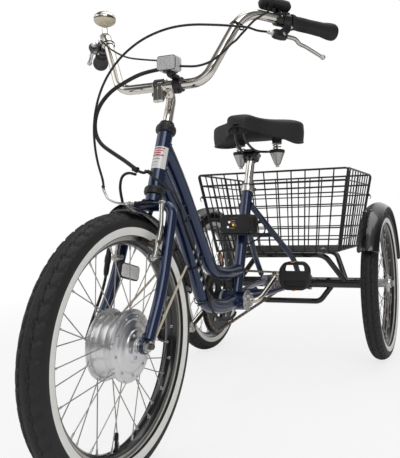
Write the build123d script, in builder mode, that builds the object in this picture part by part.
from build123d import *
import os
from math import acos, atan2, cos, degrees, hypot, pi, radians, sin, tan

# Electric tricycle, millimetres. +X forward, +Y to the rider's left, +Z up, ground at Z = 0.

# ---- driving dimensions: layout ----
wheelbase = 1055.0
track = 650.0
rear_axle_x = -518.6            # puts the middle of the whole machine over the origin
tyre_radius = 250.0
head_angle = 70.0               # degrees from the ground
fork_rake = 25.0
bracket_forward = 500.0         # bottom bracket ahead of the rear axle
bracket_height = 256.0
seat_angle = 70.8
running_gap = 0.3               # between a turning piece and what carries it
seat_gap = 0.1                  # between still pieces that seat on each other

# ---- wheels ----
rim_edge_radius = 207.0
rim_bed_radius = 189.0
rim_width = 30.0
tyre_width = 54.0
whitewall_radius = 222.0
spoke_count = 36
spoke_diameter = 2.4
front_hub_diameter = 135.0
front_flange_spacing = 50.0
front_hub_width = 92.0
front_axle_diameter = 12.0
front_axle_length = 150.0
dropout_spacing = 104.0
dropout_thickness = 6.0
rear_hub_diameter = 34.0
rear_flange_diameter = 62.0
rear_flange_spacing = 44.0
rear_hub_length = 66.0

# ---- frame tubes ----
head_tube_diameter = 34.0
head_tube_bottom = 552.0        # heights along the steering axis
head_tube_top = 676.0
crown_drop = 36.0               # fork crown below the head tube
headset_diameter = 44.0
headset_height = 17.0
steerer_diameter = 25.4
upper_tube_diameter = 34.0
lower_tube_diameter = 38.0
brace_diameter = 12.0
seat_tube_diameter = 32.0
seat_tube_top = 577.0
seat_post_diameter = 25.4
seat_post_top = 662.0
seat_post_insert = 152.0        # post inside the seat tube
stay_diameter = 18.0
stay_spread = 134.0             # between the stays at the axle plates
bracket_shell_diameter = 52.0
bracket_shell_width = 68.0
bracket_cup_diameter = 57.0
bracket_cup_height = 5.0

# ---- rear sub-frame ----
drive_axle_diameter = 17.0
housing_diameter = 36.0
housing_end = 288.0             # outer end of each housing tube
plate_thickness = 6.0
carrier_tube_diameter = 19.0
loop_half_width = 145.0
loop_drop = 66.0
arch_half_width = 200.0
arch_top_half_width = 150.0
arch_top = 353.0
arch_lean = 85.0

# ---- basket ----
basket_rim_height = 635.0
basket_floor_height = 369.0
basket_rim_front = 192.0        # ahead of the rear axle
basket_rim_back = -215.0
basket_rim_half_width = 267.0
basket_floor_front = 153.0
basket_floor_back = -176.0
basket_floor_half_width = 219.0
basket_rows = 7
wire = 4.0
frame_wire = 7.0

# ---- fenders ----
fender_radius = 266.0
rear_fender_radius = 276.0
fender_width = 62.0
rear_fender_width = 70.0
fender_sheet = 2.0

# ---- saddle ----
saddle_width = 300.0
saddle_nose_width = 76.0
saddle_back = 208.0             # ahead of the rear axle
saddle_widest = 286.0
saddle_nose = 470.0
saddle_bottom = 713.0
saddle_top = 790.0
spring_half_spacing = 62.0
spring_top_radius = 24.0
spring_bottom_radius = 9.0

# ---- handlebar ----
bar_diameter = 22.2
bar_rise = 104.0                # bar clamp above the head tube
bar_reach = 53.0                # stem's reach ahead of the steering axis
stem_insert = 70.0
grip_diameter = 35.0
grip_flange_diameter = 38.0
grip_end_diameter = 42.0
grip_length = 128.0
lever_from_tip = 140.0          # clamps on the bar's end, measured back from its tip
display_from_tip = 160.0
bell_from_tip = 196.0
bell_diameter = 55.0

# ---- drive ----
crank_length = 127.0
crank_diameter = 15.0
crank_angle = 153.5             # left arm, from +X towards +Z
pedal_length = 90.0
pedal_width = 84.0
pedal_height = 24.0
pitch = 12.7
ring_teeth = 42
sprocket_teeth = 17
chain_line = -50.0
tooth_width = 2.0
chain_plate_height = 8.6
chain_plate = 1.0
guard_radius = 97.0

os.makedirs("parts", exist_ok=True)


def save(part, name):
    part.label = name
    export_step(part, f"parts/{name}.step")


# ---- places worked out from the layout ----
def ahead(x):
    return rear_axle_x + x


front_x = ahead(wheelbase)
axis_foot = front_x - fork_rake / sin(radians(head_angle))
up_axis = Vector(-cos(radians(head_angle)), 0, sin(radians(head_angle)))


def on_axis(z, y=0.0):
    """Point of the steering axis at height z."""
    return Vector(axis_foot - (z - tyre_radius) / tan(radians(head_angle)), y, z)


def behind_axis(back, z):
    """Point of the centre plane at height z, that far behind the steering axis."""
    return on_axis(z) - Vector(back, 0, 0)


bracket = Vector(ahead(bracket_forward), 0, bracket_height)


def on_seat_tube(z):
    return Vector(bracket.X - (z - bracket_height) / tan(radians(seat_angle)), 0, z)


def square_to(origin, direction):
    return Plane(origin=origin, z_dir=direction)


def rod(start, end, radius, bore=0.0):
    """Straight round bar or tube from start to end."""
    start, end = Vector(*start), Vector(*end)
    with BuildPart() as made:
        with BuildSketch(square_to(start, end - start)):
            Circle(radius)
            if bore:
                Circle(bore, mode=Mode.SUBTRACT)
        extrude(amount=(end - start).length)
    return made.part


def bent(points, radii, radius):
    """Round bar along straight runs joined by arcs."""
    with BuildPart() as made:
        with BuildLine() as route:
            FilletPolyline(*points, radius=radii)
        with BuildSketch(square_to(route.line @ 0, route.line % 0)):
            Circle(radius)
        sweep()
    return made.part


def part_way(start, end, share):
    return start + (end - start) * share


def mirrored(vector, side):
    return Vector(vector.X, side * vector.Y, vector.Z)


def cross_rod(middle, half, radius):
    """Round bar parallel to the axles, centred on middle."""
    return rod(middle - Vector(0, half, 0), middle + Vector(0, half, 0), radius)


def arc_radii(points, share=0.45):
    """For each corner of a route, the largest radius that its two runs allow."""
    points = [Vector(*p) for p in points]
    runs = [b - a for a, b in zip(points, points[1:])]
    radii = []
    for before, after in zip(runs, runs[1:]):
        turn = radians(before.get_angle(after))
        radii.append(share * min(before.length, after.length) / tan(turn / 2))
    return radii


def routed(points, radius):
    """Round bar or cord whose arcs are as large as its runs allow."""
    return bent(points, arc_radii(points), radius)


# ---- wheels ----
def wheel_plane(centre):
    """Local x lies along the wheel's axle and local y points up its radius."""
    return Plane(origin=centre, x_dir=(0, 1, 0), z_dir=(1, 0, 0))


def turned(centre, outline):
    """Solid of revolution about a wheel's axle from (along axle, radius) points."""
    with BuildPart() as made:
        with BuildSketch(wheel_plane(centre)):
            with BuildLine():
                Polyline(*outline, close=True)
            make_face()
        revolve(axis=Axis(centre, (0, 1, 0)))
    return made.part


def tyre_at(centre):
    half = tyre_width / 2
    bead = rim_width / 2 - 2
    shoulder = (half * 0.66, tyre_radius - 7)
    with BuildPart() as made:
        with BuildSketch(wheel_plane(centre)):
            with BuildLine():
                wall = ThreePointArc((bead, rim_edge_radius), (half, whitewall_radius + 6), shoulder)
                far_wall = mirror(wall, about=Plane.YZ)
                ThreePointArc(wall @ 1, (0, tyre_radius), far_wall @ 1)
                Line(wall @ 0, far_wall @ 0)
            make_face()
        revolve(axis=Axis(centre, (0, 1, 0)))
    return made.part


def rim_at(centre):
    edge, bed = rim_width / 2, rim_width / 2 - 8
    track_foot = rim_edge_radius - 12
    outline = [(edge, rim_edge_radius), (edge, track_foot), (bed, rim_bed_radius)]
    return turned(centre, outline + [(-y, r) for y, r in reversed(outline)])


def spokes_at(centre, flange_radius, flange_half, lean):
    """Spokes from two flanges to the rim bed, crossing in pairs by lean degrees."""
    made = []
    end_radius = rim_bed_radius - 0.8
    for i in range(spoke_count):
        side = 1 if i % 2 else -1
        sweep_way = 1 if (i // 2) % 2 else -1
        rim_turn = radians(i * 360 / spoke_count)
        hub_turn = rim_turn + sweep_way * radians(lean)
        foot = centre + Vector(sin(hub_turn), 0, cos(hub_turn)) * flange_radius
        tip = centre + Vector(sin(rim_turn), 0, cos(rim_turn)) * end_radius
        made.append(rod(foot + Vector(0, side * flange_half, 0), tip + Vector(0, side * 4, 0),
                        spoke_diameter / 2))
    return made


def hub_with_spokes(centre, outline, flange_radius, flange_half, lean):
    with BuildPart() as made:
        add(turned(centre, outline))
        add(spokes_at(centre, flange_radius, flange_half, lean))
    return made.part


front_centre = Vector(front_x, 0, tyre_radius)
left_centre = Vector(rear_axle_x, track / 2, tyre_radius)
right_centre = Vector(rear_axle_x, -track / 2, tyre_radius)
for place, centre in (("front", front_centre), ("rear_left", left_centre), ("rear_right", right_centre)):
    save(tyre_at(centre), f"{place}_tyre")
    save(rim_at(centre), f"{place}_rim")

# Hub motor: two dished covers on a drum with a spoke flange at each edge.
flange_half = front_flange_spacing / 2
hub_half = front_hub_width / 2
flange_radius = front_hub_diameter / 2
axle_bore = front_axle_diameter / 2 + running_gap
motor_outline = [
    (hub_half, axle_bore), (hub_half, 13), (hub_half - 7, 14), (hub_half - 9, 30), (flange_half + 9, 46),
    (flange_half + 5, flange_radius - 9), (flange_half + 2, flange_radius - 7),
    (flange_half + 2, flange_radius), (flange_half - 2, flange_radius),
    (flange_half - 2, flange_radius - 7),
]
motor_outline += [(-y, r) for y, r in reversed(motor_outline)]
save(hub_with_spokes(front_centre, motor_outline, flange_radius - 3, flange_half, 14), "front_hub")

# Rear hubs: plain barrels. The left one turns on the drive axle, the right one is fixed to it.
rear_flange_half = rear_flange_spacing / 2
rear_half = rear_hub_length / 2
barrel, rear_flange = rear_hub_diameter / 2, rear_flange_diameter / 2
rear_bore = drive_axle_diameter / 2 + running_gap
rear_outline = [
    (rear_half, rear_bore), (rear_half, barrel - 3), (rear_flange_half + 2, barrel),
    (rear_flange_half + 2, rear_flange), (rear_flange_half - 2, rear_flange),
    (rear_flange_half - 2, barrel),
]
rear_outline += [(-y, r) for y, r in reversed(rear_outline)]
for side, centre in (("left", left_centre), ("right", right_centre)):
    save(hub_with_spokes(centre, rear_outline, rear_flange - 3, rear_flange_half, 52), f"rear_{side}_hub")

# ---- drive axle with its sprocket, running through the housings ----
axle_centre = Vector(rear_axle_x, 0, tyre_radius)
axle_end = track / 2 + rear_half + 1


def toothed(centre, teeth, bore, width):
    """Flat toothed disc standing square to the Y axis."""
    pitch_radius = pitch / (2 * sin(pi / teeth))
    with BuildPart() as made:
        with BuildSketch(Plane(origin=centre, x_dir=(1, 0, 0), z_dir=(0, 1, 0))):
            Circle(pitch_radius + 3.2)
            with PolarLocations(pitch_radius, teeth, start_angle=180 / teeth):
                Circle(4.0, mode=Mode.SUBTRACT)
            if bore:
                Circle(bore, mode=Mode.SUBTRACT)
        extrude(amount=width / 2, both=True)
    return made.part


sprocket_centre = axle_centre + Vector(0, chain_line, 0)
with BuildPart() as drive_axle:
    add(rod(axle_centre + Vector(0, -axle_end, 0), axle_centre + Vector(0, axle_end, 0),
            drive_axle_diameter / 2))
    add(toothed(sprocket_centre, sprocket_teeth, 0, tooth_width))
    for step in range(1, 5):
        add(rod(sprocket_centre + Vector(0, 3.4 * step, 0), sprocket_centre + Vector(0, 3.4 * step + 2, 0),
                32 - 3 * step))
    add(rod(sprocket_centre + Vector(0, -6, 0), sprocket_centre + Vector(0, 22, 0), 15))
    for side in (1, -1):
        outer = side * axle_end
        add(rod(axle_centre + Vector(0, outer, 0), axle_centre + Vector(0, outer + side * 8, 0), 11))
save(drive_axle.part, "drive_axle")

# ---- fork, front axle ----
crown_height = head_tube_bottom - crown_drop
crown_radius = 14.0
crown_half = 20.0
fork_knee_height = 345.0
leg_diameter = 23.0
leg_top_half = 50.0
leg_bottom_half = dropout_spacing / 2 + 9
crown = on_axis(crown_height)
fork_shoulder = on_axis(crown_height - 3, leg_top_half)
fork_knee = on_axis(fork_knee_height, leg_bottom_half - 4)
fork_foot = Vector(front_x - 5, leg_bottom_half, tyre_radius + 10)
steerer_foot = on_axis(crown_height + 6)
stem_radius = 11.0
stem_foot = head_tube_top - stem_insert
headset_low = on_axis(head_tube_bottom) - up_axis * headset_height
headset_high = on_axis(head_tube_top) + up_axis * headset_height
with BuildPart() as fork:
    for side in (1, -1):
        leg = [mirrored(p, side) for p in (crown, fork_shoulder, fork_knee, fork_foot)]
        add(routed(leg, leg_diameter / 2))
        plate_inner = Vector(front_x, side * dropout_spacing / 2, tyre_radius)
        plate_outer = plate_inner + Vector(0, side * dropout_thickness, 0)
        add(rod(plate_inner, plate_outer, 15))
        add(rod(plate_inner + Vector(-5, 0, 14), plate_outer + Vector(-5, 0, 14), 11))
    add(rod(on_axis(crown_height, -crown_half), on_axis(crown_height, crown_half), crown_radius))
    add(rod(steerer_foot, on_axis(head_tube_top) + up_axis * (headset_height - 2), steerer_diameter / 2))
    add(rod(steerer_foot, headset_low - up_axis * running_gap, 17))
    add(rod(on_axis(stem_foot - 6), on_axis(head_tube_top) + up_axis * headset_height, stem_radius + 0.2),
        mode=Mode.SUBTRACT)
    add(cross_rod(front_centre, 90, front_axle_diameter / 2 + seat_gap), mode=Mode.SUBTRACT)
save(fork.part, "fork")

nut_start = dropout_spacing / 2 + dropout_thickness
with BuildPart() as front_axle:
    add(cross_rod(front_centre, front_axle_length / 2, front_axle_diameter / 2))
    for side in (1, -1):
        for start, end, size in ((hub_half + running_gap, dropout_spacing / 2 - seat_gap, 9.5),
                                 (nut_start + seat_gap, nut_start + 9, 9.5)):
            with BuildSketch(square_to(front_centre + Vector(0, side * start, 0), (0, side, 0))):
                RegularPolygon(size, 6)
            extrude(amount=end - start)
save(front_axle.part, "front_axle")

# ---- head tube and headset ----
with BuildPart() as head_tube:
    add(rod(on_axis(head_tube_bottom), on_axis(head_tube_top), head_tube_diameter / 2,
            steerer_diameter / 2 + 2))
save(head_tube.part, "head_tube")

with BuildPart() as headset_cups:
    for start, way in ((on_axis(head_tube_bottom), -1), (on_axis(head_tube_top), 1)):
        direction = up_axis * way
        near = start + direction * seat_gap
        far = start + direction * headset_height
        add(rod(near, far, headset_diameter / 2, steerer_diameter / 2 + running_gap))
    fillet(headset_cups.edges().filter_by(GeomType.CIRCLE).group_by(SortBy.RADIUS)[-1], 3)
save(headset_cups.part, "headset_cups")

# ---- main tubes ----
head_solid = rod(on_axis(head_tube_bottom - 40), on_axis(head_tube_top + 40),
                 head_tube_diameter / 2 + seat_gap)
seat_tube_foot = on_seat_tube(bracket_height)
seat_solid = rod(seat_tube_foot, on_seat_tube(seat_tube_top + 20), seat_tube_diameter / 2 + seat_gap)
shell_half = bracket_shell_width / 2
shell_solid = cross_rod(bracket, shell_half, bracket_shell_diameter / 2 + seat_gap)

upper_route = [on_axis(head_tube_top - 26), behind_axis(99, 572), bracket + Vector(155, 0, 94),
               bracket + Vector(60, 0, 78), on_seat_tube(bracket_height + 80)]
lower_route = [on_axis(head_tube_bottom + 40), behind_axis(131, 484), bracket + Vector(194, 0, 16),
               bracket + Vector(90, 0, -6), bracket]
braces = ((part_way(upper_route[1], upper_route[2], 0.22), part_way(lower_route[0], lower_route[1], 0.81)),
          (part_way(upper_route[1], upper_route[2], 0.775), part_way(lower_route[1], lower_route[2], 0.51)))


def main_tube(route, radius):
    with BuildPart() as made:
        add(routed(route, radius))
        add([head_solid, seat_solid, shell_solid], mode=Mode.SUBTRACT)
    return made.part


upper_tube = main_tube(upper_route, upper_tube_diameter / 2)
lower_tube = main_tube(lower_route, lower_tube_diameter / 2)
save(upper_tube, "upper_frame_tube")
with BuildPart() as lower_frame_tube:
    for high_end, low_end in braces:
        add(rod(high_end, low_end, brace_diameter / 2))
    add(upper_tube, mode=Mode.SUBTRACT)
    add(lower_tube)
save(lower_frame_tube.part, "lower_frame_tube")

post_foot = seat_tube_top - seat_post_insert
with BuildPart() as seat_tube:
    add(rod(seat_tube_foot, on_seat_tube(seat_tube_top), seat_tube_diameter / 2))
    add(rod(on_seat_tube(seat_tube_top - 16), on_seat_tube(seat_tube_top + 4), seat_tube_diameter / 2 + 4))
    add(rod(on_seat_tube(post_foot - 6), on_seat_tube(seat_tube_top + 20), seat_post_diameter / 2 + seat_gap),
        mode=Mode.SUBTRACT)
    add(shell_solid, mode=Mode.SUBTRACT)
save(seat_tube.part, "seat_tube")

# ---- bottom bracket: shell and two pressed cups ----
spindle_bore = crank_diameter / 2 + 1.5
with BuildPart() as bottom_bracket:
    add(cross_rod(bracket, shell_half, bracket_shell_diameter / 2))
    for side in (1, -1):
        add(rod(bracket + Vector(0, side * shell_half, 0),
                bracket + Vector(0, side * (shell_half + bracket_cup_height), 0), bracket_cup_diameter / 2))
    add(cross_rod(bracket, shell_half + 9, spindle_bore), mode=Mode.SUBTRACT)
save(bottom_bracket.part, "bottom_bracket")

# ---- stays and axle plates ----
plate_centre_y = stay_spread / 2
plate_joint = Vector(ahead(112), 0, 268)
seat_stay_route = [on_seat_tube(seat_tube_top - 53) + Vector(0, 13, 0), Vector(ahead(165), plate_centre_y, 345),
                   (ahead(118), plate_centre_y, 290)]
chain_stay_route = [bracket + Vector(-16, 22, 2), (ahead(390), 38, 258), (ahead(190), plate_centre_y, 262),
                    (ahead(106), plate_centre_y, 262)]
axle_hole = drive_axle_diameter / 2 + 1
with BuildPart() as chain_stays:
    for side in (1, -1):
        route = [Vector(*p) for p in chain_stay_route]
        add(routed([mirrored(p, side) for p in route], stay_diameter / 2))
        inner_y = side * plate_centre_y - plate_thickness / 2
        outer_face = Plane(origin=(0, inner_y + plate_thickness, 0), x_dir=(1, 0, 0), z_dir=(0, -1, 0))
        with BuildSketch(outer_face):
            with Locations((axle_centre.X, axle_centre.Z)):
                Circle(25)
            with Locations((plate_joint.X, plate_joint.Z)):
                Circle(17)
            make_hull()
            with Locations((axle_centre.X, axle_centre.Z)):
                Circle(axle_hole, mode=Mode.SUBTRACT)
        extrude(amount=plate_thickness)
    add(rod((ahead(330), -44, 259), (ahead(330), 44, 259), 7))
    add(shell_solid, mode=Mode.SUBTRACT)
    add(seat_solid, mode=Mode.SUBTRACT)
save(chain_stays.part, "chain_stays")

with BuildPart() as seat_stays:
    for side in (1, -1):
        route = [Vector(*p) for p in seat_stay_route]
        add(routed([mirrored(p, side) for p in route], stay_diameter / 2))
    bridge = part_way(seat_stay_route[0], seat_stay_route[1], 0.53)
    add(rod(mirrored(bridge, -1), bridge, 6))
    add(seat_solid, mode=Mode.SUBTRACT)
    add(chain_stays.part, mode=Mode.SUBTRACT)
save(seat_stays.part, "seat_stays")

# ---- axle housing ----
housing_start = plate_centre_y + plate_thickness / 2 + seat_gap
with BuildPart() as axle_housing:
    for side in (1, -1):
        for start, end, radius in ((housing_start, housing_end, housing_diameter / 2),
                                   (housing_start, housing_start + 6, 26),
                                   (housing_end - 22, housing_end, housing_diameter / 2 + 4)):
            add(rod(axle_centre + Vector(0, side * start, 0), axle_centre + Vector(0, side * end, 0), radius))
    add(rod(axle_centre - Vector(0, housing_end + 1, 0), axle_centre + Vector(0, housing_end + 1, 0),
            drive_axle_diameter / 2 + running_gap), mode=Mode.SUBTRACT)
save(axle_housing.part, "axle_housing")
housing_solid = [rod(axle_centre + Vector(0, side * housing_start, 0),
                     axle_centre + Vector(0, side * housing_end, 0), housing_diameter / 2 + seat_gap)
                 for side in (1, -1)]
collar_solid = [rod(axle_centre + Vector(0, side * (housing_end - 23), 0),
                    axle_centre + Vector(0, side * (housing_end + 1), 0), housing_diameter / 2 + 4 + seat_gap)
                for side in (1, -1)]

# ---- rear carrier: hanging loop, two leaning arches, rails and fender stays ----
carrier_radius = carrier_tube_diameter / 2
loop_bottom = tyre_radius - loop_drop
fender_inner = track / 2 - rear_fender_width / 2
with BuildPart() as rear_carrier:
    loop = [(0, -loop_half_width - 6, -12), (0, -loop_half_width + 38, -loop_drop),
            (0, loop_half_width - 38, -loop_drop), (0, loop_half_width + 6, -12)]
    add(bent([axle_centre + Vector(*p) for p in loop], [34, 34], carrier_radius))
    for way in (1, -1):
        top_x = way * arch_lean
        arch = [(way * 10, -arch_half_width, 8), (top_x, -arch_top_half_width, arch_top - tyre_radius),
                (top_x, arch_top_half_width, arch_top - tyre_radius), (way * 10, arch_half_width, 8)]
        add(bent([axle_centre + Vector(*p) for p in arch], [42, 42], carrier_radius))
    for side in (1, -1):
        rail_height = arch_top - tyre_radius
        add(rod(axle_centre + Vector(-arch_lean, side * 118, rail_height),
                axle_centre + Vector(arch_lean, side * 118, rail_height), 7))
        for way in (1, -1):
            foot = axle_centre + Vector(way * 8, side * (housing_end - 10), 14)
            tip = axle_centre + Vector(way * 112, side * (fender_inner + 3), 244)
            add(rod(foot, tip, 3))
    add(housing_solid + collar_solid, mode=Mode.SUBTRACT)
save(rear_carrier.part, "rear_carrier")


# ---- fenders ----
def radial_plane(centre, angle):
    """Local x along the axle, local y up the radius that stands at angle from +X towards +Z."""
    return Plane(origin=centre, x_dir=(0, 1, 0), z_dir=(sin(radians(angle)), 0, -cos(radians(angle))))


def fender_at(centre, radius, width, front_angle, back_angle, drop):
    """Arched strip that covers a wheel from front_angle to back_angle."""
    half = width / 2
    with BuildPart() as made:
        with BuildSketch(radial_plane(centre, back_angle)):
            with BuildLine():
                outer = ThreePointArc((-half, radius - drop), (0, radius), (half, radius - drop))
                inner = ThreePointArc((-half + 1, radius - drop - fender_sheet), (0, radius - fender_sheet),
                                      (half - 1, radius - drop - fender_sheet))
                Line(outer @ 0, inner @ 0)
                Line(outer @ 1, inner @ 1)
            make_face()
        revolve(axis=Axis(centre, (0, 1, 0)), revolution_arc=back_angle - front_angle)
    return made.part


with BuildPart() as rear_fenders:
    for centre in (left_centre, right_centre):
        add(fender_at(centre, rear_fender_radius, rear_fender_width, 27, 166, 15))
    add(rear_carrier.part, mode=Mode.SUBTRACT)
save(rear_fenders.part, "rear_fenders")

stay_angle = 149
stay_reach = fender_radius - 16
with BuildPart() as front_fender:
    add(fender_at(front_centre, fender_radius, fender_width, 92, 165, 14))
    crown_gap = on_axis(crown_height) - front_centre
    tab_way = crown_gap.normalized()
    tab_end = crown_gap.length - crown_radius - 0.2
    add(rod(front_centre + tab_way * (fender_radius - 1), front_centre + tab_way * tab_end, 6))
    for side in (1, -1):
        tip = front_centre + Vector(stay_reach * cos(radians(stay_angle)), side * (fender_width / 2 - 1),
                                    stay_reach * sin(radians(stay_angle)))
        foot = front_centre + Vector(-20, side * (nut_start + 3), 2)
        add(rod(tip, foot, 3))
    add(fork.part, mode=Mode.SUBTRACT)
save(front_fender.part, "front_fender")

# ---- front rim brake ----
pivot_ahead = 30.0
arm_pivot_half, arm_top_half = 45.0, 40.0
pivot_height, arm_top_height = 410.0, 520.0
arm_bend_height = (pivot_height + arm_top_height) / 2 + 5
pad_half = rim_width / 2 + 1.6
with BuildPart() as front_brake:
    for side in (1, -1):
        pivot = on_axis(pivot_height, side * arm_pivot_half) + Vector(pivot_ahead, 0, 0)
        top = on_axis(arm_top_height, side * arm_top_half) + Vector(pivot_ahead, 0, 0)
        bend = on_axis(arm_bend_height, side * (arm_pivot_half + 2)) + Vector(pivot_ahead, 0, 0)
        add(routed([pivot, bend, top], 5.5))
        add(rod(pivot - Vector(pivot_ahead - 10, 0, 0), pivot + Vector(8, 0, 0), 7))
        add(rod(top - Vector(0, 5, 0), top + Vector(0, 5, 0), 7))
        to_pivot = (pivot - front_centre)
        radial = Vector(to_pivot.X, 0, to_pivot.Z).normalized()
        pad = front_centre + radial * (rim_edge_radius - 6)
        pad_plane = Plane(origin=pad + Vector(0, side * (pad_half + 4.5), 0), x_dir=(radial.Z, 0, -radial.X),
                          z_dir=(0, side, 0))
        with BuildSketch(pad_plane.offset(-4.5)):
            SlotOverall(52, 9.5)
        extrude(amount=9)
        add(rod(pad + Vector(0, side * (pad_half + 8), 0), pad + Vector(0, side * (arm_pivot_half + 8), 0),
                4))
    lead_end = on_axis(arm_top_height, -arm_top_half) + Vector(pivot_ahead, 0, 0)
    add(rod(lead_end + Vector(0, 5, 0), lead_end + Vector(0, 2 * arm_top_half - 5, 0), 4.5))
    add(fork.part, mode=Mode.SUBTRACT)
save(front_brake.part, "front_brake")

# ---- stem and handlebar ----
bar_clamp_height = head_tube_top + bar_rise
clamp_centre = on_axis(bar_clamp_height) + Vector(bar_reach, 0, 0)
bar_seat = bar_diameter / 2 + seat_gap
stem_clamp_half = 17.0
with BuildPart() as stem:
    add(bent([on_axis(stem_foot), on_axis(bar_clamp_height + 2), clamp_centre], [24], stem_radius))
    add(rod(headset_high + up_axis * seat_gap, headset_high + up_axis * 7, 16))
    add(cross_rod(clamp_centre, stem_clamp_half, 17))
    add(rod(clamp_centre, clamp_centre - up_axis * 30 + Vector(3, 0, 0), 9))
    add(cross_rod(clamp_centre, stem_clamp_half + 2, bar_seat), mode=Mode.SUBTRACT)
save(stem.part, "stem")

bar_bend = clamp_centre + Vector(0, 106, 0)
bar_peak = clamp_centre + Vector(-50, 182, 162)
bar_tip = clamp_centre + Vector(-244, 338, 149)
bar_left = [clamp_centre, bar_bend, bar_peak, bar_tip]
bar_route = [mirrored(p, -1) for p in reversed(bar_left[1:])] + bar_left[1:]
bar_corner_radii = [70.0, 46.0, 46.0, 70.0]
handlebar_part = bent(bar_route, bar_corner_radii, bar_diameter / 2)
save(handlebar_part, "handlebar")

grip_way = (bar_tip - bar_peak).normalized()


def on_bar_end(from_tip, side=1):
    """Point of the straight end of the bar, measured back from its tip."""
    return mirrored(bar_tip - grip_way * from_tip, side)


def bar_bore(from_tip, half, side=1):
    """What a clamp around the bar's end is cut with."""
    return rod(on_bar_end(from_tip + half, side), on_bar_end(from_tip - half, side), bar_seat)


with BuildPart() as grips:
    for side in (1, -1):
        for start, end, diameter in ((grip_length, -6, grip_diameter),
                                     (grip_length, grip_length - 10, grip_flange_diameter),
                                     (34, -6, grip_end_diameter)):
            add(rod(on_bar_end(start, side), on_bar_end(end, side), diameter / 2))
        add(rod(on_bar_end(grip_length + 5, side), on_bar_end(-seat_gap, side), bar_seat), mode=Mode.SUBTRACT)
save(grips.part, "grips")

# ---- hand controls ----
lever_shapes = {1: (Vector(20, -6, -38), Vector(-3, -4, -9), Vector(-3, -1, -30)),
                -1: (Vector(40, 0, -12), Vector(9, -2, -4), Vector(16, -4, -6))}
with BuildPart() as brake_levers:
    for side in (1, -1):
        mount = on_bar_end(lever_from_tip, side)
        way = mirrored(grip_way, side)
        lever_drop, lever_knee, lever_tip_drop = lever_shapes[side]
        body = mount + mirrored(lever_drop, side)
        add(rod(mount - way * 10, mount + way * 10, 16.5))
        add(rod(mount + way * 3, body + way * 8, 8.5))
        add(rod(body - way * 20, body + way * 14, 11))
        add(rod(body - way * 36, body - way * 18, 4.5))
        blade = [body + way * 12, body + way * 56 + mirrored(lever_knee, side),
                 body + way * 118 + mirrored(lever_tip_drop, side)]
        add(bent(blade, [60], 5))
        add(rod(blade[-1], blade[-1] + way * 4, 7))
    for side in (1, -1):
        add(bar_bore(lever_from_tip, 24, side), mode=Mode.SUBTRACT)
save(brake_levers.part, "brake_levers")

bell_foot = on_bar_end(bell_from_tip, -1)
bell_way = mirrored(grip_way, -1)
bell_centre = bell_foot + Vector(0, 2, 53)
bell_radius = bell_diameter / 2
with BuildPart() as bell:
    for low, high, low_radius, high_radius in ((-16, -3, 14, bell_radius),
                                               (-3, 4, bell_radius, bell_radius - 0.5),
                                               (4, 20, bell_radius - 0.5, 13)):
        with Locations(bell_centre + Vector(0, 0, (low + high) / 2)):
            Cone(low_radius, high_radius, high - low)
    add(rod(bell_foot, bell_centre - Vector(0, 0, 6), 5))
    add(rod(bell_foot - bell_way * 5, bell_foot + bell_way * 5, 16))
    add(bar_bore(bell_from_tip, 16, -1), mode=Mode.SUBTRACT)
save(bell.part, "bell")

lamp_width, lamp_height, lamp_depth = 46.0, 33.0, 30.0
lamp_centre = clamp_centre + Vector(39.1, 43, 36.5)
lamp_clamp = clamp_centre + Vector(0, 44, 0)
with BuildPart() as headlight:
    with BuildSketch(Plane(origin=lamp_centre, x_dir=(0, 1, 0), z_dir=(1, 0, 0)).offset(-lamp_depth / 2)):
        RectangleRounded(lamp_width, lamp_height, 6)
    extrude(amount=lamp_depth)
    add(rod(lamp_centre - Vector(6, 0, 12), lamp_clamp + Vector(8, 0, 12), 7))
    add(cross_rod(lamp_clamp, 10, 17))
    add(cross_rod(lamp_clamp, 12, bar_seat), mode=Mode.SUBTRACT)
save(headlight.part, "headlight")

display_length, display_depth, display_height = 79.0, 34.0, 16.0
display_foot = on_bar_end(display_from_tip)
display_centre = display_foot + Vector(8, -4, 31)
toward_rider = Vector(0, 0, 1).cross(grip_way).normalized() * 0.42 + Vector(0, 0, 0.9)
display_up = grip_way.cross(toward_rider).cross(grip_way).normalized()
with BuildPart() as display:
    display_plane = Plane(origin=display_centre, x_dir=grip_way, z_dir=display_up)
    with BuildSketch(display_plane.offset(-display_height / 2)):
        RectangleRounded(display_length, display_depth, 12)
    extrude(amount=display_height)
    add(rod(display_foot, display_centre, 7))
    add(rod(display_foot - grip_way * 8, display_foot + grip_way * 8, 17))
    add(bar_bore(display_from_tip, 17), mode=Mode.SUBTRACT)
save(display.part, "display")

# ---- basket: five grids of wire, floor and four walls ----
def corner(x, y, z):
    return Vector(ahead(x), y, z)


def grid(low_left, low_right, top_left, top_right, columns, rows, inset):
    """Flat grid of wires between two edges, thickened inwards."""
    across_way = (low_right - low_left).normalized()
    low_left, low_right = low_left + across_way * inset, low_right - across_way * inset
    top_left, top_right = top_left + across_way * inset, top_right - across_way * inset
    normal = (low_right - low_left).cross(top_left - low_left).normalized()
    sheet = Plane(origin=low_left, x_dir=across_way, z_dir=normal)
    corners = [sheet.to_local_coords(p) for p in (low_left, low_right, top_left, top_right)]
    lows, lowe, tops, tope = [Vector(p.X, p.Y) for p in corners]

    def strip(a, b, width):
        side = Vector(-(b - a).Y, (b - a).X).normalized() * width / 2
        return [(p.X, p.Y) for p in (a - side, b - side, b + side, a + side)]

    with BuildPart() as made:
        with BuildSketch(sheet):
            for i in range(columns + 1):
                share = i / columns
                Polygon(*strip(part_way(lows, lowe, share), part_way(tops, tope, share), wire), align=None)
            for j in range(rows + 1):
                share = j / rows
                thick = frame_wire if j == rows else wire
                Polygon(*strip(part_way(lows, tops, share), part_way(lowe, tope, share), thick), align=None)
        extrude(amount=wire)
    return made.part


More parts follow.
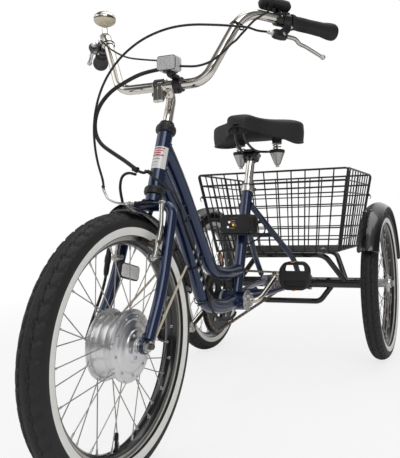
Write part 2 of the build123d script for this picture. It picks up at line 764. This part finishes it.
low = [corner(x, y, basket_floor_height) for x, y in (
    (basket_floor_front, basket_floor_half_width), (basket_floor_front, -basket_floor_half_width),
    (basket_floor_back, -basket_floor_half_width), (basket_floor_back, basket_floor_half_width))]
high = [corner(x, y, basket_rim_height) for x, y in (
    (basket_rim_front, basket_rim_half_width), (basket_rim_front, -basket_rim_half_width),
    (basket_rim_back, -basket_rim_half_width), (basket_rim_back, basket_rim_half_width))]
with BuildPart() as basket:
    for i, columns, inset in ((0, 11, 0), (1, 9, 6.3), (2, 11, 0), (3, 9, 6.3)):
        j = (i + 1) % 4
        add(grid(low[i], low[j], high[i], high[j], columns, basket_rows, inset))
    floor = [p + Vector(side_x * 7.8, side_y * 7.8, -wire / 2) for p, side_x, side_y in
             ((low[3], 1, -1), (low[0], -1, -1), (low[2], 1, 1), (low[1], -1, 1))]
    add(grid(*floor, 9, 9, 0))
save(basket.part, "basket")

# ---- seat post, saddle and its springs ----
post_top = on_seat_tube(seat_post_top)
with BuildPart() as seat_post:
    add(rod(on_seat_tube(post_foot), post_top, seat_post_diameter / 2))
save(seat_post.part, "seat_post")

spring_x = ahead(290)
spring_foot_height = 642.0
spring_frame_height = 688.0
spring_cap_height = 695.0
spring_neck_radius = 13.0
saddle_clamp = on_seat_tube(seat_post_top - 4)
with BuildPart() as saddle_springs:
    add(rod(saddle_clamp - Vector(0, 24, 0), saddle_clamp + Vector(0, 24, 0), 17))
    add(rod((spring_x, -spring_half_spacing - 4, spring_frame_height),
            (spring_x, spring_half_spacing + 4, spring_frame_height), 6))
    for side in (1, -1):
        add(rod(saddle_clamp + Vector(0, side * 18, -4), (spring_x, side * 24, spring_frame_height), 4.5))
        add(rod(saddle_clamp + Vector(0, side * 18, 6), (ahead(448), side * 12, saddle_bottom - 7), 4.5))
        spring_foot = (spring_x, side * spring_half_spacing, 0)
        spring_low, spring_high = spring_foot_height, saddle_bottom - running_gap
        with BuildSketch(Plane(origin=spring_foot, x_dir=(1, 0, 0), z_dir=(0, -1, 0))):
            with BuildLine():
                Polyline((0, spring_low), (spring_bottom_radius, spring_low),
                         (spring_top_radius, spring_cap_height - 10), (spring_top_radius, spring_cap_height),
                         (spring_neck_radius, spring_cap_height), (spring_neck_radius, spring_high),
                         (0, spring_high), close=True)
            make_face()
        revolve(axis=Axis(spring_foot, (0, 0, 1)))
    add(rod((ahead(448), -16, saddle_bottom - 7), (ahead(448), 16, saddle_bottom - 7), 6.5))
    add(seat_post.part, mode=Mode.SUBTRACT)
save(saddle_springs.part, "saddle_springs")

with BuildPart() as saddle:
    half, nose_half = saddle_width / 2, saddle_nose_width / 2
    back, nose = saddle_back - saddle_widest, saddle_nose - saddle_widest
    depth = saddle_top - saddle_bottom
    for rise, share in ((0, 0.93), (depth * 0.45, 1), (depth * 0.8, 0.93), (depth, 0.72)):
        with BuildSketch(Plane.XY.offset(saddle_bottom + rise)):
            with BuildLine():
                outline = [(back, 0), (back + 14, half * 0.66), (0, half), (80, half * 0.66),
                           (nose - 54, nose_half + 4), (nose, 0)]
                points = [(x * share, y * share) for x, y in outline]
                Spline(*points, tangents=[(0, 1), (0, -1)])
                Spline(*[(x, -y) for x, y in points], tangents=[(0, -1), (0, 1)])
            make_face()
    loft()
    saddle.part.locate(Location((ahead(saddle_widest), 0, 0)))
save(saddle.part, "saddle")

# ---- control box on the front of the seat tube ----
box_width, box_depth, box_height = 97.0, 46.0, 59.0
box_centre_height = 465.0
box_shift = 5.0                 # towards the rider's left
box_back = on_seat_tube(box_centre_height).X + seat_tube_diameter / 2 + 10
with BuildPart() as control_box:
    with BuildSketch(Plane.XY.offset(box_centre_height - box_height / 2)):
        with Locations((box_back + box_depth / 2, box_shift)):
            RectangleRounded(box_depth, box_width, 6)
    extrude(amount=box_height)
    with BuildSketch(Plane.XY.offset(box_centre_height - 22)):
        with Locations((box_back - 8, 0)):
            Rectangle(28, 30)
    extrude(amount=44)
    add(seat_solid, mode=Mode.SUBTRACT)
save(control_box.part, "control_box")

# ---- crank, chainring and guard, pedals ----
crank_way = Vector(cos(radians(crank_angle)), 0, sin(radians(crank_angle)))
arm_root, arm_tip = 68.0, 82.0
pedal_start, pedal_end = arm_tip + 13.0, arm_tip + 13.0 + pedal_length
spindle_radius = 4.5
with BuildPart() as crank:
    tip = {side: bracket + (crank_way * crank_length + Vector(0, arm_tip, 0)) * side for side in (1, -1)}
    add(bent([tip[1], bracket + Vector(0, arm_root, 0), bracket - Vector(0, arm_root, 0), tip[-1]], [20, 10],
             crank_diameter / 2))
    for side in (1, -1):
        add(rod(tip[side] - Vector(0, 9, 0), tip[side] + Vector(0, 9, 0), 13))
        add(rod(tip[side], tip[side] + Vector(0, side * (pedal_end - arm_tip - 4), 0), spindle_radius))
        cup_face = bracket + Vector(0, side * (shell_half + bracket_cup_height + running_gap), 0)
        add(rod(cup_face, cup_face + Vector(0, side * 5, 0), 17))
save(crank.part, "crank")

ring_centre = bracket + Vector(0, chain_line, 0)
with BuildPart() as chainring:
    add(toothed(ring_centre, ring_teeth, crank_diameter / 2 + seat_gap, tooth_width))
    with BuildSketch(Plane(origin=ring_centre - Vector(0, 6, 0), x_dir=(1, 0, 0), z_dir=(0, 1, 0))):
        Circle(guard_radius)
        Circle(crank_diameter / 2 + seat_gap, mode=Mode.SUBTRACT)
    extrude(amount=2)
    for i in range(5):
        turn = radians(90 + i * 72)
        spot = ring_centre + Vector(cos(turn), 0, sin(turn)) * 60
        add(rod(spot - Vector(0, 7, 0), spot + Vector(0, 2, 0), 6))
    for i in range(5):
        turn = radians(54 + i * 72)
        spot = ring_centre + Vector(cos(turn), 0, sin(turn)) * 46
        add(rod(spot - Vector(0, 8, 0), spot + Vector(0, 8, 0), 15), mode=Mode.SUBTRACT)
save(chainring.part, "chainring")

for side, place in ((1, "left"), (-1, "right")):
    with BuildPart() as pedal:
        hub = tip[side]
        near, far = side * (pedal_start - arm_tip), side * (pedal_end - arm_tip)
        back_face = hub + Vector(-pedal_height / 2, (near + far) / 2, 0)
        with BuildSketch(Plane(origin=back_face, x_dir=(0, 1, 0), z_dir=(1, 0, 0))):
            RectangleRounded(pedal_length, pedal_width, 20)
            with Locations((0, 24), (0, -24)):
                RectangleRounded(pedal_length - 26, 18, 5, mode=Mode.SUBTRACT)
        extrude(amount=pedal_height)
        add(rod(hub + Vector(0, near, 0), hub + Vector(0, far, 0), spindle_radius + running_gap),
            mode=Mode.SUBTRACT)
    save(pedal.part, f"pedal_{place}")

# ---- chain: two rows of side plates along its path ----
ring_pitch_radius = pitch / (2 * sin(pi / ring_teeth))
sprocket_pitch_radius = pitch / (2 * sin(pi / sprocket_teeth))
chain_span = ring_centre - sprocket_centre
span_length = hypot(chain_span.X, chain_span.Z)
span_angle = degrees(atan2(chain_span.Z, chain_span.X))
wrap = degrees(acos((ring_pitch_radius - sprocket_pitch_radius) / span_length))


def chain_face(side_shift, width, height):
    """Closed band around the ring and the sprocket."""
    plane = Plane(origin=sprocket_centre + Vector(0, side_shift, 0), x_dir=(cos(radians(span_angle)), 0,
                  sin(radians(span_angle))), z_dir=(0, -1, 0))
    with BuildPart() as made:
        with BuildSketch(plane):
            for grow, mode in ((height / 2, Mode.ADD), (-height / 2, Mode.SUBTRACT)):
                with BuildSketch(mode=Mode.PRIVATE) as band:
                    Circle(sprocket_pitch_radius + grow)
                    with Locations((span_length, 0)):
                        Circle(ring_pitch_radius + grow)
                    make_hull()
                add(band.sketch, mode=mode)
        extrude(amount=width / 2, both=True)
    return made.part


with BuildPart() as chain:
    for way in (1, -1):
        plate_shift = tooth_width / 2 + running_gap + chain_plate / 2
        add(chain_face(way * plate_shift, chain_plate, chain_plate_height))
save(chain.part, "chain")

# ---- cables: each lies on its clips, so it is made whole along its real route ----
# Points of the bar's cables are measured from the front axle, those of the frame's from the rear axle.
cable_routes = {
    "bar_cables": (front_x, (
        (2.5, [(-252.3, 221.7, 900.2), (-233, 206.2, 899.5), (-205, 197, 899), (-173, 188, 893),
               (-143, 177, 887), (-118, 155, 884), (-100, 109, 885), (-87, 62, 879), (-78, 12, 862),
               (-75, -32, 836), (-74, -64, 806), (-74, -88, 771), (-75, -104, 732), (-75, -111, 690),
               (-76, -110, 647), (-81, -106, 608), (-89, -100, 573), (-90, -98, 550), (-92, -86, 530),
               (-94, -66, 521.5), (-94.7, -47.4, 520)]),
        (4.5, [(-142.7, 34, 818), (-160, 34, 818), (-166, 16, 820), (-154, -6, 815), (-127, -28, 802),
               (-112, -58, 784), (-106, -90, 765), (-104, -116, 738), (-104, -129, 707),
               (-104, -128, 676), (-103, -112, 651), (-99, -82, 631), (-94, -48, 611), (-89, -16, 590)]),
        (3.0, [(-90, -18, 580), (-89, -36, 584), (-89, -51, 577), (-93, -59, 558), (-100, -62, 540),
               (-107, -63, 520), (-100, -65, 498), (-88, -69, 470), (-76, -73, 436), (-69, -75, 400),
               (-63, -76, 367), (-50, -77, 336), (-33, -78, 307), (-16, -78.2, 279), (-2, -78.2, 254)]),
        (2.0, [(-142.7, 52, 824), (-157, 52, 825), (-160, 6, 836), (-156, -38, 843), (-164, -84, 855),
               (-175, -124, 875), (-184, -152, 894), (-191, -176, 914)]),
        (2.5, [(-133, 66.3, 811), (-133, 80, 809), (-141, 104, 809), (-151, 130, 818),
               (-161, 155, 838), (-173, 168, 857), (-188, 174, 869), (-203, 179.5, 885),
               (-214, 186, 898), (-220, 193, 909), (-222, 204, 919), (-227, 214, 927),
               (-237, 224, 937), (-251, 228.5, 948), (-257.1, 222.8, 961.5)]),
    )),
    "frame_cables": (rear_axle_x, (
        (2.5, [(950, -4, 588), (953, 12, 578), (944, 26, 563), (926, 31, 551), (900, 31, 545),
               (874, 28, 533), (850, 22, 512), (828, 18.3, 482), (800, 19.9, 440), (765, 21.9, 388),
               (735, 22.1, 338), (712, 21.9, 292), (690, 20.8, 256), (652, 21, 232), (606, 18, 222),
               (560, 14, 220), (522, 10, 226)]),
        (2.0, [(462, 54, 470), (463, 62, 472), (462, 71, 468), (457, 77, 455), (451, 72, 440),
               (447, 56, 427), (446, 38, 416), (447, 21, 408)]),
    )),
}
for name, (start_x, routes) in cable_routes.items():
    with BuildPart() as cables:
        for radius, points in routes:
            add(routed([(start_x + x, y, z) for x, y, z in points], radius))
    save(cables.part, name)
